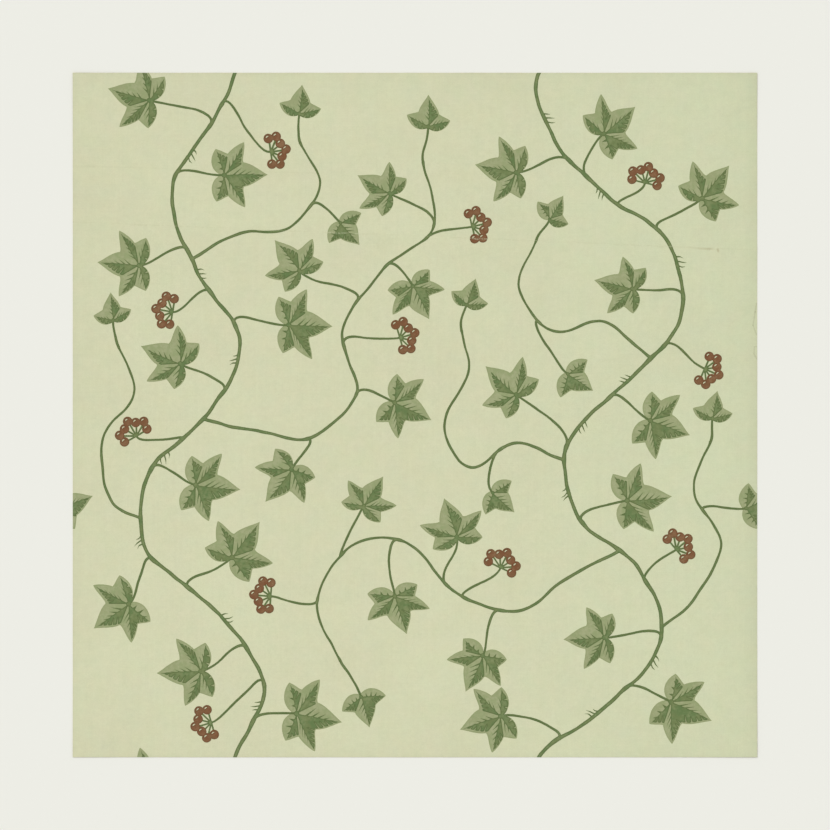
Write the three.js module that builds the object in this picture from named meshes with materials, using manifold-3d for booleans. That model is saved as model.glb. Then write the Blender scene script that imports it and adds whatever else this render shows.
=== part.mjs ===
// A square sheet of block-printed wallpaper, lying face up: paper, ground coat and three printed colours.
// The print is a generic ivy trail: two main stems run from the bottom edge to the top one and repeat over
// the height of the sheet. They carry side shoots, lobed leaves and bunches of berries.
// Millimetres. The sheet lies in the XY plane with its middle over the origin and +Y towards its top edge.
// The printed face looks along +Z. Leaf shapes are drawn in leaf units: 1 is the length from the stalk to
// the tip.
import * as THREE from "three";
import { mergeVertices } from "three/addons/utils/BufferGeometryUtils.js";
import Module from "manifold-3d";

// Sizes that drive the sheet.
const SHEET = 530; // width and height, which is also the repeat of the design
const HALF = SHEET / 2;
const PAPER = 0.24; // thickness of the paper
const GROUND = 0.05; // thickness of the ground coat
const FILM = 0.08; // thickness of one printed film

// Sizes that drive the print.
const STALK_WIDTH = [2, 1.6]; // of a leaf stalk, at its root and at the leaf
const BERRY_STALK_WIDTH = [1.9, 1.5];
const STALK_REACH = 0.9; // how far a stalk keeps its first and last direction, as a share of its span
const HUB_RADIUS = 0.06; // of the spot where the veins meet, in leaf units
const BERRY_RADIUS = 3.7;
const BERRY_COUNT = 7;
const BERRY_STEP = 30; // degrees from one berry to the next
const BERRY_SPREAD = [10, 12.5]; // from the hub to the inner and to the outer berries
const RAY_WIDTH = 1.3;
const ROOTLET = { width: 1.3, longest: 8.05, shortest: 6.3, step: 3.4, count: 3, lean: 28 };
const VEIN_END = 0.93; // share of a lobe that its shading reaches along the vein
const INSET = 0.9; // share of a lobe's width that its shading fills
const RIM_PLACES = [0, 0.35, 0.7]; // along a lobe's dark flank, where its shading has corners
const DIP_REACH = 1.12; // how far the shading runs into a dip, past its lowest point
const INSET_BY_LIGHT = 0.035; // how much less on a lobe that faces the light
const LIGHT = [-0.62, 0.78]; // the direction that the print is lit from

// Steps that curves are drawn in.
const STEM_STEPS = 5; // for each span of a stem
const STALK_STEPS = 4;
const LEAF_STEPS = 2; // for each Bezier piece of a leaf
const BERRY_SIDES = 8;
const HUB_SIDES = 6;
const HEADING_STEP = 0.02; // along a stem, to find the way that it grows
const SMALLEST_EDGE = 2e-3;
const SAME_POINT = 1e-4;

// Colour and roughness of each layer.
const FINISHES = {
  paper: { color: 0xd9cfae, roughness: 0.9 },
  ground: { color: 0xd1d4b0, roughness: 0.85 },
  lightGreen: { color: 0x9ba178, roughness: 0.8 },
  midGreen: { color: 0x737e54, roughness: 0.8 },
  redBrown: { color: 0x7d5b40, roughness: 0.8 },
};

// The series of random numbers.
const PRIME = 2147483647;
const MULTIPLIER = 48271;
const SEED_STEP = 7919; // keeps the series of neighbouring seeds apart
const WARM_UP = 3;
const SHADING_SEED = 500; // added to a leaf's number for its shading

// Stems, by points chosen by hand. A main stem goes on through the repeat; a shoot starts on its parent, at
// the place along it that from gives, counted in points. Width is given at both ends.
const STEMS = {
  west: {
    trail: "west",
    width: [2.7, 2.7],
    points: [
      [-140, -265], [-118, -206], [-156, -150], [-208, -104], [-206, -44],
      [-160, 2], [-136, 58], [-172, 116], [-188, 176], [-156, 228],
    ],
  },
  east: {
    trail: "east",
    width: [2.7, 2.7],
    points: [
      [96, -265], [148, -226], [190, -176], [174, -120], [126, -78], [118, -22],
      [160, 22], [204, 72], [196, 134], [146, 172], [106, 216],
    ],
  },
  centre: {
    trail: "west",
    from: ["west", 4.9],
    width: [2.5, 1.6],
    points: [[-124, -12], [-80, -16], [-46, 16], [-56, 66], [-26, 112], [14, 146], [6, 196]],
  },
  rim: {
    trail: "west",
    from: ["west", 3.4],
    width: [2.2, 1.5],
    points: [[-236, -66], [-242, -18], [-218, 18], [-230, 54]],
  },
  roof: {
    trail: "west",
    from: ["west", 7.1],
    width: [2.3, 1.5],
    points: [[-138, 140], [-98, 146], [-74, 178], [-90, 212]],
  },
  low: {
    trail: "east",
    from: ["east", 3.35],
    width: [2.4, 1.6],
    points: [
      [118, -126], [76, -152], [30, -136], [-8, -98], [-54, -104], [-76, -148], [-58, -190],
    ],
  },
  inner: {
    trail: "east",
    from: ["east", 4.75],
    width: [2.3, 1.5],
    points: [[78, -22], [42, -40], [22, -8], [40, 32], [36, 66]],
  },
  crown: {
    trail: "east",
    from: ["east", 6.45],
    width: [2.3, 1.5],
    points: [[146, 72], [106, 66], [80, 98], [94, 136]],
  },
  shore: {
    trail: "east",
    from: ["east", 2.2],
    width: [2.2, 1.5],
    points: [[218, -140], [236, -100], [216, -58], [228, -20]],
  },
};

// Leaves: stem, place along it, x and y of the stalk's end, heading in degrees, length, kind.
const LEAVES = [
  ["west", 0.5, -92, -231, -6, 36, "five"],
  ["west", 1.45, -166, -198, 186, 34, "five"],
  ["west", 2.35, -142, -110, 52, 35, "five"],
  ["west", 2.85, -222, -146, 214, 33, "five"],
  ["west", 4.05, -170, -54, -10, 35, "five"],
  ["west", 5.3, -182, 40, 150, 33, "five"],
  ["west", 6.2, -98, 70, 4, 34, "five"],
  ["west", 7.2, -214, 116, 180, 32, "five"],
  ["west", 8.15, -148, 186, 2, 34, "five"],
  ["west", 8.9, -206, 244, 164, 33, "five"],
  ["east", 0.35, 66, -233, 196, 33, "five"],
  ["east", 1.3, 198, -222, -30, 35, "five"],
  ["east", 2.05, 146, -172, 176, 31, "five"],
  ["east", 3.9, 164, -66, 10, 35, "five"],
  ["east", 4.95, 78, 16, 140, 32, "five"],
  ["east", 5.8, 182, -4, -20, 33, "five"],
  ["east", 7.3, 168, 98, 166, 30, "five"],
  ["east", 8.2, 222, 168, 46, 33, "five"],
  ["east", 9.3, 146, 218, 34, 32, "five"],
  ["east", 9.6, 78, 188, 176, 32, "five"],
  ["centre", 1.9, -96, -42, -124, 32, "five"],
  ["centre", 3.0, -16, 10, -24, 32, "five"],
  ["centre", 4.45, -90, 112, 128, 30, "five"],
  ["centre", 5.1, -2, 100, -66, 29, "five"],
  ["centre", 6.05, -20, 172, 146, 28, "five"],
  ["centre", 7.0, 10, 224, 82, 24, "three"],
  ["rim", 4.0, -234, 74, 100, 21, "three"],
  ["roof", 2.55, -58, 149, -46, 23, "three"],
  ["roof", 4.0, -90, 234, 84, 22, "three"],
  ["low", 2.2, 52, -186, -116, 31, "five"],
  ["low", 3.15, 32, -94, 104, 31, "five"],
  ["low", 4.1, -16, -140, -78, 31, "five"],
  ["low", 5.1, -40, -70, 62, 27, "five"],
  ["low", 7.0, -42, -218, -70, 25, "three"],
  ["inner", 1.3, 60, -60, -40, 23, "three"],
  ["inner", 5.0, 40, 86, 70, 21, "three"],
  ["crown", 2.3, 118, 32, -36, 24, "three"],
  ["crown", 4.0, 104, 152, 54, 21, "three"],
  ["shore", 2.6, 256, -72, 14, 26, "three"],
  ["shore", 4.0, 230, -2, 84, 21, "three"],
];

// Bunches of berries: stem, place along it, x and y of the hub, heading in degrees.
const BUNCHES = [
  ["west", 0.95, -158, -238, 196],
  ["west", 4.55, -216, -16, 120],
  ["west", 6.65, -188, 80, 170],
  ["west", 9.35, -112, 204, 8],
  ["centre", 3.75, -12, 60, 16],
  ["centre", 5.8, 44, 146, 14],
  ["east", 2.85, 202, -104, 40],
  ["east", 6.65, 224, 36, -24],
  ["east", 8.75, 178, 180, 76],
  ["low", 2.8, 66, -118, 64],
  ["low", 5.9, -112, -140, 176],
];

// Climbing rootlets: stem, place along it, side (1 left of the way the stem grows, -1 right).
const ROOTLETS = [
  ["west", 0.7, 1],
  ["west", 1.85, -1],
  ["west", 3.15, 1],
  ["west", 4.3, -1],
  ["west", 5.75, 1],
  ["west", 6.9, -1],
  ["west", 8.5, -1],
  ["east", 0.85, 1],
  ["east", 1.75, -1],
  ["east", 4.35, 1],
  ["east", 5.35, -1],
  ["east", 6.1, 1],
  ["east", 7.75, -1],
  ["east", 9.05, 1],
  ["east", 10.3, -1],
];

// Half of a leaf, from its tip round to the stalk, as Bezier pieces: two controls and an end.
const LEAF_TIP = [1, 0];
const LEAF_SIDES = {
  five: [
    [[0.88, 0.05], [0.64, 0.27], [0.45, 0.29]],
    [[0.4, 0.36], [0.49, 0.6], [0.46, 0.78]],
    [[0.33, 0.74], [0.15, 0.6], [0.09, 0.51]],
    [[0.03, 0.52], [-0.08, 0.6], [-0.19, 0.63]],
    [[-0.31, 0.46], [-0.36, 0.14], [-0.07, 0]],
  ],
  three: [
    [[0.88, 0.05], [0.62, 0.3], [0.42, 0.34]],
    [[0.36, 0.42], [0.34, 0.56], [0.26, 0.72]],
    [[0.02, 0.66], [-0.3, 0.34], [-0.07, 0]],
  ],
};
// How far one leaf may differ from the next.
const LEAF_STRETCH = 0.06;
const LEAF_BEND = 0.13;
const LEAF_LEAN = 0.05;
const VEIN_SAG = 0.1;
const INSET_SPREAD = 0.01;

// Plane geometry.

const radians = THREE.MathUtils.degToRad;

function between(a, b, t) {
  return [a[0] + (b[0] - a[0]) * t, a[1] + (b[1] - a[1]) * t];
}

function unit([x, y]) {
  const size = Math.hypot(x, y);
  return [x / size, y / size];
}

function heading(degrees) {
  return [Math.cos(radians(degrees)), Math.sin(radians(degrees))];
}

function bezier([a, b, c, d], t) {
  const s = 1 - t;
  return [0, 1].map(
    (i) => s * s * s * a[i] + 3 * s * s * t * b[i] + 3 * s * t * t * c[i] + t * t * t * d[i],
  );
}

function circle([x, y], radius, sides) {
  return Array.from({ length: sides }, (_, i) => {
    const [c, s] = heading((360 * i) / sides);
    return [x + radius * c, y + radius * s];
  });
}

function placed(outline, x, y, turn, length) {
  const [c, s] = heading(turn);
  return outline.map(([px, py]) => [x + length * (px * c - py * s), y + length * (px * s + py * c)]);
}

function shifted(outline, [dx, dy]) {
  return outline.map(([x, y]) => [x + dx, y + dy]);
}

// The outline of a line of points that is as wide as width says at its two ends.
function ribbon(points, width) {
  const last = points.length - 1;
  const left = [];
  const right = [];
  points.forEach(([x, y], i) => {
    const a = points[Math.max(i - 1, 0)];
    const b = points[Math.min(i + 1, last)];
    const [dx, dy] = unit([b[0] - a[0], b[1] - a[1]]);
    const half = (width[0] + ((width[1] - width[0]) * i) / last) / 2;
    left.push([x - dy * half, y + dx * half]);
    right.unshift([x + dy * half, y - dx * half]);
  });
  return [...left, ...right];
}

// Numbers from -1 to 1, the same on every run, by repeated multiplication modulo a prime.
function randomNumbers(seed) {
  let state = (seed * SEED_STEP) % PRIME;
  const next = () => {
    state = (state * MULTIPLIER) % PRIME;
    return (2 * state) / PRIME - 1;
  };
  for (let i = 0; i < WARM_UP; i++) next();
  return next;
}

// Stems, stalks, berries and rootlets.

// The points that a stem passes through, with its root on its parent.
function stemPoints(stem) {
  return stem.from ? [stemAt(STEMS[stem.from[0]], stem.from[1]), ...stem.points] : stem.points;
}

// Point i of a stem: a main stem goes on in the next repeat, and a shoot goes straight on past its ends.
function stemPoint(stem, points, i) {
  const last = points.length - 1;
  if (!stem.from) {
    const lap = Math.floor(i / points.length);
    const [x, y] = points[i - lap * points.length];
    return [x, y + lap * SHEET];
  }
  if (i < 0) return between(points[1], points[0], 2);
  if (i > last) return between(points[last - 1], points[last], 2);
  return points[i];
}

// A place along a stem, on a smooth curve through its points.
function stemAt(stem, place) {
  const points = stemPoints(stem);
  const top = stem.from ? points.length - 2 : Infinity;
  const k = Math.min(Math.floor(place), top);
  const t = place - k;
  const [a, b, c, d] = [-1, 0, 1, 2].map((i) => stemPoint(stem, points, k + i));
  return [0, 1].map(
    (i) =>
      0.5 *
      (2 * b[i] +
        (c[i] - a[i]) * t +
        (2 * a[i] - 5 * b[i] + 4 * c[i] - d[i]) * t * t +
        (3 * b[i] - a[i] - 3 * c[i] + d[i]) * t * t * t),
  );
}

function stemHeading(stem, place) {
  const a = stemAt(stem, place - HEADING_STEP);
  const b = stemAt(stem, place + HEADING_STEP);
  return unit([b[0] - a[0], b[1] - a[1]]);
}

// A stem's outline; a main stem is drawn past both ends of the sheet, which cuts it off.
function stemOutline(stem) {
  const count = stemPoints(stem).length;
  const [first, last] = stem.from ? [0, count - 1] : [-1, count + 1];
  const steps = (last - first) * STEM_STEPS;
  const points = Array.from({ length: steps + 1 }, (_, i) => stemAt(stem, first + i / STEM_STEPS));
  return ribbon(points, stem.width);
}

// A stalk: it leaves its stem the way the stem grows and ends at a point, in a given direction.
function stalk(stemName, place, end, endHeading, width) {
  const stem = STEMS[stemName];
  const start = stemAt(stem, place);
  const reach = STALK_REACH * Math.hypot(end[0] - start[0], end[1] - start[1]);
  const first = stemHeading(stem, place);
  const last = heading(endHeading);
  const controls = [
    start,
    [start[0] + (first[0] * reach) / 3, start[1] + (first[1] * reach) / 3],
    [end[0] - (last[0] * reach) / 3, end[1] - (last[1] * reach) / 3],
    end,
  ];
  const points = Array.from({ length: STALK_STEPS + 1 }, (_, i) => bezier(controls, i / STALK_STEPS));
  return ribbon(points, width);
}

// The middles of a bunch's berries: two staggered rows round the hub.
function berries(x, y, turn) {
  return Array.from({ length: BERRY_COUNT }, (_, k) => {
    const [c, s] = heading(turn + (k - (BERRY_COUNT - 1) / 2) * BERRY_STEP);
    const spread = BERRY_SPREAD[k % 2];
    return [x + spread * c, y + spread * s];
  });
}

// A few short rootlets, side by side, on one side of a stem. The middle one is the longest.
function rootlets(stem, place, side) {
  const [dx, dy] = stemHeading(stem, place);
  const [x, y] = stemAt(stem, place);
  const out = side * Math.cos(radians(ROOTLET.lean));
  const back = Math.sin(radians(ROOTLET.lean));
  const way = [-dy * out - dx * back, dx * out - dy * back];
  const middle = (ROOTLET.count - 1) / 2;
  const half = ROOTLET.width / 2;
  return Array.from({ length: ROOTLET.count }, (_, k) => {
    const along = (k - middle) * ROOTLET.step;
    const length = k === middle ? ROOTLET.longest : ROOTLET.shortest;
    const start = [x + dx * along, y + dy * along];
    return [
      [start[0] - dx * half, start[1] - dy * half],
      [start[0] + dx * half, start[1] + dy * half],
      [start[0] + way[0] * length, start[1] + way[1] * length],
    ];
  });
}

// Leaves.

// Both sides of a leaf as Bezier pieces from the tip to the stalk, each leaf a little different.
function leafSides(kind, seed) {
  const random = randomNumbers(seed);
  const stretch = [1 + LEAF_STRETCH * random(), 1 + LEAF_STRETCH * random()];
  const bend = LEAF_BEND * random();
  const lean = [LEAF_LEAN * random(), LEAF_LEAN * random()];
  return [1, -1].map((side, k) => {
    const fit = ([x, y]) => {
      const along = x + lean[k] * y;
      return [along, y * stretch[k] * side + bend * along * Math.abs(along)];
    };
    let start = LEAF_TIP;
    return LEAF_SIDES[kind].map(([c1, c2, end]) => {
      const piece = [start, c1, c2, end].map(fit);
      start = end;
      return piece;
    });
  });
}

function leafOutline(kind, seed) {
  const [left, right] = leafSides(kind, seed).map((pieces) =>
    pieces.flatMap((piece) =>
      Array.from({ length: LEAF_STEPS }, (_, i) => bezier(piece, i / LEAF_STEPS)),
    ),
  );
  const base = leafSides(kind, seed)[0].at(-1)[3];
  return [...left, base, ...right.slice(1).reverse()];
}

// The lobes of a leaf: each has its tip and the flanks on its left and right, from the dip to the tip.
function leafLobes(kind, seed) {
  const [left, right] = leafSides(kind, seed);
  const back = (piece) => [...piece].reverse();
  const lobes = [{ tip: left[0][0], left: back(left[0]), right: back(right[0]) }];
  for (let k = 1; k < left.length; k += 2) {
    lobes.push({ tip: left[k][3], left: back(left[k + 1]), right: left[k] });
    lobes.push({ tip: right[k][3], left: right[k], right: back(right[k + 1]) });
  }
  return lobes;
}

// The shaded half of each lobe, which lies on the side away from the light.
function leafShading(kind, seed, turn) {
  const random = randomNumbers(seed + SHADING_SEED);
  const [c, s] = heading(turn);
  return leafLobes(kind, seed).map(({ tip, left, right }) => {
    const [dx, dy] = unit(tip);
    const [wx, wy] = [dx * c - dy * s, dx * s + dy * c];
    const facing = wx * LIGHT[0] + wy * LIGHT[1];
    const leftIsLit = wx * LIGHT[1] - wy * LIGHT[0] > 0;
    const dark = leftIsLit ? right : left;
    const sag = VEIN_SAG * random();
    const inset = INSET - INSET_BY_LIGHT * facing + INSET_SPREAD * random();
    const rim = RIM_PLACES.map((t) => bezier(dark, t).map((v) => v * inset));
    rim[0] = between(rim[1], rim[0], DIP_REACH);
    const side = sag * VEIN_END * (1 - VEIN_END);
    const veinEnd = [tip[0] * VEIN_END - tip[1] * side, tip[1] * VEIN_END + tip[0] * side];
    return [[0, 0], ...rim, veinEnd];
  });
}

// Everything in mid green on one trail, apart from its stems.
function trailOutlines(trail) {
  const onTrail = ([name]) => STEMS[name].trail === trail;
  const outlines = [];
  LEAVES.forEach((leaf, i) => {
    if (!onTrail(leaf)) return;
    const [name, place, x, y, turn, length, kind] = leaf;
    outlines.push(stalk(name, place, [x, y], turn, STALK_WIDTH));
    outlines.push(circle([x, y], HUB_RADIUS * length, HUB_SIDES));
    leafShading(kind, i + 1, turn).forEach((half) => {
      outlines.push(placed(half, x, y, turn, length));
    });
  });
  BUNCHES.filter(onTrail).forEach(([name, place, x, y, turn]) => {
    outlines.push(stalk(name, place, [x, y], turn, BERRY_STALK_WIDTH));
    berries(x, y, turn).forEach((berry) => {
      outlines.push(ribbon([[x, y], berry], [RAY_WIDTH, RAY_WIDTH]));
    });
  });
  ROOTLETS.filter(onTrail).forEach(([name, place, side]) => {
    outlines.push(...rootlets(STEMS[name], place, side));
  });
  return outlines;
}

// Solids.

const wasm = await Module();
wasm.setup();

// The upright solid over an outline, between two heights.
function prism(outline, bottom, top) {
  const shape = new THREE.Shape(outline.map(([x, y]) => new THREE.Vector2(x, y)));
  const geometry = new THREE.ExtrudeGeometry(shape, { depth: top - bottom, bevelEnabled: false });
  geometry.translate(0, 0, bottom);
  geometry.deleteAttribute("normal");
  geometry.deleteAttribute("uv");
  const merged = mergeVertices(geometry, SAME_POINT);
  return new wasm.Manifold(
    new wasm.Mesh({
      numProp: 3,
      vertProperties: merged.attributes.position.array,
      triVerts: new Uint32Array(merged.index.array),
    }),
  );
}

// A layer of the whole sheet, between two heights.
function sheetLayer(bottom, top) {
  return prism([[-HALF, -HALF], [HALF, -HALF], [HALF, HALF], [-HALF, HALF]], bottom, top);
}

// Every place where a copy of an outline touches the sheet, one repeat away in each direction at most.
function repeats(outline) {
  const xs = outline.map(([x]) => x);
  const ys = outline.map(([, y]) => y);
  const touches = (values, move) =>
    Math.min(...values) + move < HALF && Math.max(...values) + move > -HALF;
  const moves = [-SHEET, 0, SHEET];
  return moves
    .flatMap((dx) => moves.map((dy) => [dx, dy]))
    .filter(([dx, dy]) => touches(xs, dx) && touches(ys, dy));
}

const groundTop = PAPER + GROUND;
const lightTop = groundTop + FILM;
const midTop = lightTop + FILM;
const redTop = midTop;
const sheetCut = sheetLayer(0, midTop);

// A solid with its flat faces joined and its shortest edges closed up.
function tidy(solid) {
  return solid.asOriginal().simplify(SMALLEST_EDGE);
}

// The repeats of some outlines as one solid, cut off at the sheet's edge.
function printed(outlines, top) {
  const solids = outlines.flatMap((outline) =>
    repeats(outline).map((move) => prism(shifted(outline, move), groundTop, top)),
  );
  return tidy(wasm.Manifold.union(solids).intersect(sheetCut));
}

// Pieces.

const root = new THREE.Group();

function addPiece(name, solid, finish) {
  const { vertProperties, triVerts } = solid.getMesh();
  const geometry = new THREE.BufferGeometry();
  geometry.setAttribute("position", new THREE.BufferAttribute(vertProperties, 3));
  geometry.setIndex(new THREE.BufferAttribute(triVerts, 1));
  geometry.computeVertexNormals();
  const mesh = new THREE.Mesh(geometry, new THREE.MeshStandardMaterial({ ...finish, metalness: 0 }));
  mesh.name = name;
  root.add(mesh);
}

// Adds each body of a solid as a piece, largest first. The smaller ones are what the sheet's edge cuts off.
function addPieces(name, solid, finish) {
  const bodies = solid.decompose().sort((a, b) => b.volume() - a.volume());
  bodies.forEach((body, i) => {
    addPiece(i ? name + "_cut_" + i : name, body, finish);
  });
}

const number = (i) => String(i + 1).padStart(2, "0");

addPiece("paper", sheetLayer(0, PAPER), FINISHES.paper);
addPiece("ground_coat", sheetLayer(PAPER, groundTop), FINISHES.ground);

// First colour: the leaves, whole, in light green.
const leafFilms = LEAVES.map(([, , x, y, turn, length, kind], i) =>
  printed([placed(leafOutline(kind, i + 1), x, y, turn, length)], lightTop),
);
leafFilms.forEach((film, i) => {
  addPieces("leaf_" + number(i) + "_light_green", film, FINISHES.lightGreen);
});

// Third colour: the berries, one film for each bunch. The mid green leaves their places clear.
const berryFilms = BUNCHES.map(([, , x, y, turn]) => {
  const discs = berries(x, y, turn).map((berry) => circle(berry, BERRY_RADIUS, BERRY_SIDES));
  return printed(discs, redTop);
});
berryFilms.forEach((film, i) => {
  addPieces("berries_" + number(i) + "_red_brown", film, FINISHES.redBrown);
});

// Second colour: everything in mid green that grows on one main stem holds together.
const otherColours = wasm.Manifold.union([...leafFilms, ...berryFilms]);
["west", "east"].forEach((trail) => {
  const stems = Object.values(STEMS)
    .filter((stem) => stem.trail === trail)
    .map((stem) => prism(stemOutline(stem), groundTop, midTop));
  const film = wasm.Manifold.union([...stems, printed(trailOutlines(trail), midTop)])
    .intersect(sheetCut)
    .subtract(otherColours);
  addPieces("trail_" + trail + "_mid_green", tidy(film), FINISHES.midGreen);
});

export default root;
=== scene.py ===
import cmath
import math

import bpy
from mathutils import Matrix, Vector, kdtree, noise
from mathutils.geometry import delaunay_2d_cdt


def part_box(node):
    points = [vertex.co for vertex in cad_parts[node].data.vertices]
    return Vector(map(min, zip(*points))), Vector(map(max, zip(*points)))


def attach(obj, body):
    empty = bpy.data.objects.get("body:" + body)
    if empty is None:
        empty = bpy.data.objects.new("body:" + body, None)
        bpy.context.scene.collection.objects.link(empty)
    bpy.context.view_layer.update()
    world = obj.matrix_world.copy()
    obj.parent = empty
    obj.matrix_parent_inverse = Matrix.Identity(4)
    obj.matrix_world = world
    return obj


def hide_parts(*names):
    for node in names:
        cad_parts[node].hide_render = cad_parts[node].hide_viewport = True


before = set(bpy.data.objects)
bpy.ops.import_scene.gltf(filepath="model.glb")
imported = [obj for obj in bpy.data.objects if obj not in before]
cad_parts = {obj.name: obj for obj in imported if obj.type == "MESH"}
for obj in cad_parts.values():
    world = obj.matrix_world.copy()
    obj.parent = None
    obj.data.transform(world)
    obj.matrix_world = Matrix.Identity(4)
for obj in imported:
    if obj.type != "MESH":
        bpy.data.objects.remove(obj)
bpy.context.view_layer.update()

NOISE_SEED = 1
noise.seed_set(NOISE_SEED)  # without it, Blender's vector noise differs from run to run
MM = 0.001


def top_of(node):
    return round(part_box(node)[1].z / MM, 3)


# Sizes that drive the sheet, from the frame.
SHEET = round((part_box("paper")[1].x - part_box("paper")[0].x) / MM, 2)
HALF = SHEET / 2
PAPER_TOP = top_of("paper")
GROUND_TOP = top_of("ground_coat")
LIGHT_TOP = top_of("leaf_01_light_green")
MID_TOP = top_of("trail_west_mid_green")
RED_TOP = top_of("berries_01_red_brown")
SINK = 0.012  # how far a film's underside is pressed into what it lies on
CELLS = 132  # along each side of the grid that the sheet is made on
GRID = [HALF * (2 * i / CELLS - 1) for i in range(CELLS + 1)]
CUT_WANDER = 0.07  # how far a cut edge strays from straight
CUT_WAVES = [(21, 5.5, 1.0), (4, 1.5, 0.4)]  # span, place in the noise and share of each of its wanders

# How the sheet lies on the floor.
COCKLE = 1.1
COCKLE_SPAN = (150, 118)
COCKLE_NOISE = 2.7  # its place in the noise
COCKLE_RAISE = 0.45  # added to the noise, so that more of the sheet stands up than lies flat
COCKLE_BORDER = 60  # over which the cockling dies away towards the cut edges
CORNER_LIFTS = [
    # corner, lift, reach
    (complex(-1, 1), 0.6, 120),
    (complex(1, 1), 0.35, 95),
    (complex(-1, -1), 0.3, 80),
    (complex(1, -1), 0.5, 110),
]
ROLL_LIFT = 0.12  # of the top and bottom edges, which were the ends of the roll
ROLL_REACH = 70
FOLD = (complex(-265, 149.6), complex(265, 127.9))  # an old fold, pressed flat again
FOLD_HEIGHT = 0.14
FOLD_WIDTH = 4.5

# Sizes that drive the print, as in the CAD.
STALK_WIDTH = (2.0, 1.6)
BERRY_STALK_WIDTH = (1.9, 1.5)
STALK_REACH = 0.9
HUB_RADIUS = 0.06
BERRY_RADIUS = 3.7
BERRY_COUNT = 7
BERRY_STEP = 30
BERRY_SPREAD = (10, 12.5)
GLINT_PLACE = 1.8  # from a berry's middle to the crescent of bare ground in it
GLINT_WIDTH = 0.9
GLINT_TURN = 48  # degrees to each of its tips
RAY_WIDTH = 1.3
ROOTLET_WIDTH = 1.3
ROOTLET_LENGTH = 7
ROOTLET_SHARES = (0.9, 1.15, 0.9)  # of that length, for each of a group
ROOTLET_STEP = 3.4
ROOTLET_COUNT = 3
ROOTLET_LEAN = 28
VEIN_END = 0.93
INSET = 0.9
INSET_BY_LIGHT = 0.035
LIGHT = complex(-0.62, 0.78)  # the direction that the print is lit from
HEADING_STEP = 0.02  # along a stem, to find the way that it grows
LEAF_STRETCH = 0.06
LEAF_BEND = 0.13
LEAF_LEAN = 0.05
VEIN_SAG = 0.1
INSET_SPREAD = 0.01

# The series of random numbers, as in the CAD.
PRIME = 2147483647
MULTIPLIER = 48271
SEED_STEP = 7919
WARM_UP = 3
SHADING_SEED = 500  # added to a leaf's number for its shading, and for the teeth of its shading
TOOTH_SEED = 900

# What the finer print adds.
SWAY = 0.85  # how far a drawn line strays from its smooth curve
LINE_WANDER = 0.2  # how much its width changes
KNEE = 0.4  # how much a stem stands out where something leaves it, and over what share of a span
KNEE_REACH = 0.06
WAVES = [(5, 7, 0.45), (-8, 5, 0.35), (11, -9, 0.3), (4, 15, 0.2)]  # across and up a repeat, and share
SWAY_RATES = (1, 2)  # how fast each wander changes, as a multiple of the waves
WIDTH_RATE = 3
ROOTLET_RATE = 4
SWAY_STARTS = (0.29, 0.77)  # where it starts in them, in turns
WIDTH_STARTS = (0.13, 0.61)
ROOTLET_STARTS = (0.37, 0.83)
ROOTLET_VARY = 0.16  # how much a rootlet's length wanders
ROOTLET_FAN = 9  # degrees that it bows to its side, and that this wanders
ROOTLET_WAIST = (0.6, 0.44)  # where it bows most, as a share of its length, and its half width there
SLIP = {"mid": complex(0.3, -0.25), "red": complex(-0.25, 0.2)}  # of one block against the first
STEP = 0.95  # longest edge of a finished outline
ROUND = 0.34  # how far a corner is cut round along each of its sides
MOST_ROUND = 0.36  # and the largest share of a side
SHARP = 22  # degrees from which a corner is cut round
SHORTEST = 0.16  # shortest edge of an outline before it is cut
SMALLEST = 0.3  # smallest loop that is printed, in square millimetres
RAGGED = 0.09  # how far an outline strays, and over what span
RAGGED_SPAN = 2.4
RAGGED_NOISE = {"light": 3.1, "mid": 11.7, "red": 23.3}  # each block's place in the noise
TEETH = 5  # along a flank that is as long as the leaf
FEWEST_TEETH = 3
RINGS = (0.42, 1.0)  # rows of points inside a printed edge
RING_CLEAR = 0.94  # share of its distance that a row's point keeps from any other edge
POINT_GAP = 0.34  # least distance between the added points of a film
INNER_SPAN = 3.2  # of the points inside a film
CUT_REACH = 3  # a film that comes this near to the sheet's edge is cut along it
RIM_HEIGHT = 0.032  # colour squeezed up along the edge of a block
RIM_DROP = 0.03  # how far the very edge falls off
FILM_SWELL = 0.014  # how much a film's thickness wanders, over what span and where in the noise
SWELL_SPAN = 3.5
SWELL_NOISE = 9.1
EDGE_SEEN = 2.0  # distances from a printed edge are kept up to this
EDGES_TRIED = 4  # how many of the nearest edges are measured
SMOOTH_TO = 40  # degrees between faces that are shaded as one

# The shading of a lobe. Places are shares of a flank or of the vein, counted in teeth.
DARK_END = 0.97  # of the dark flank, where its last tooth ends
TOOTH_FILL = 0.8  # share of its span that a tooth fills
TOOTH_SLOPE = 0.02  # how much lower a tooth is at its two ends
NOTCH_ROOT = (0.2, 0.62, 0.7)  # first place and span on the vein, and place in the tooth
NOTCH_RIM = 0.92  # place in the tooth
NOTCH_REACH = (0.45, 0.12)  # from the vein to the rim, and its spread
LIT_END = 0.94  # of the lit flank
SPIKE_ROOT = (0.16, 0.66)  # first place and span on the vein
SPIKE_SIDES = (0.62, 0.2)  # places in the tooth
SPIKE_TIP = (0.72, 0.9)  # place in the tooth, and share of the way to the rim
SPIKE_REACH = (0.6, -0.16, 0.1)  # from the vein to its tip, its change towards the light, and its spread

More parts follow.
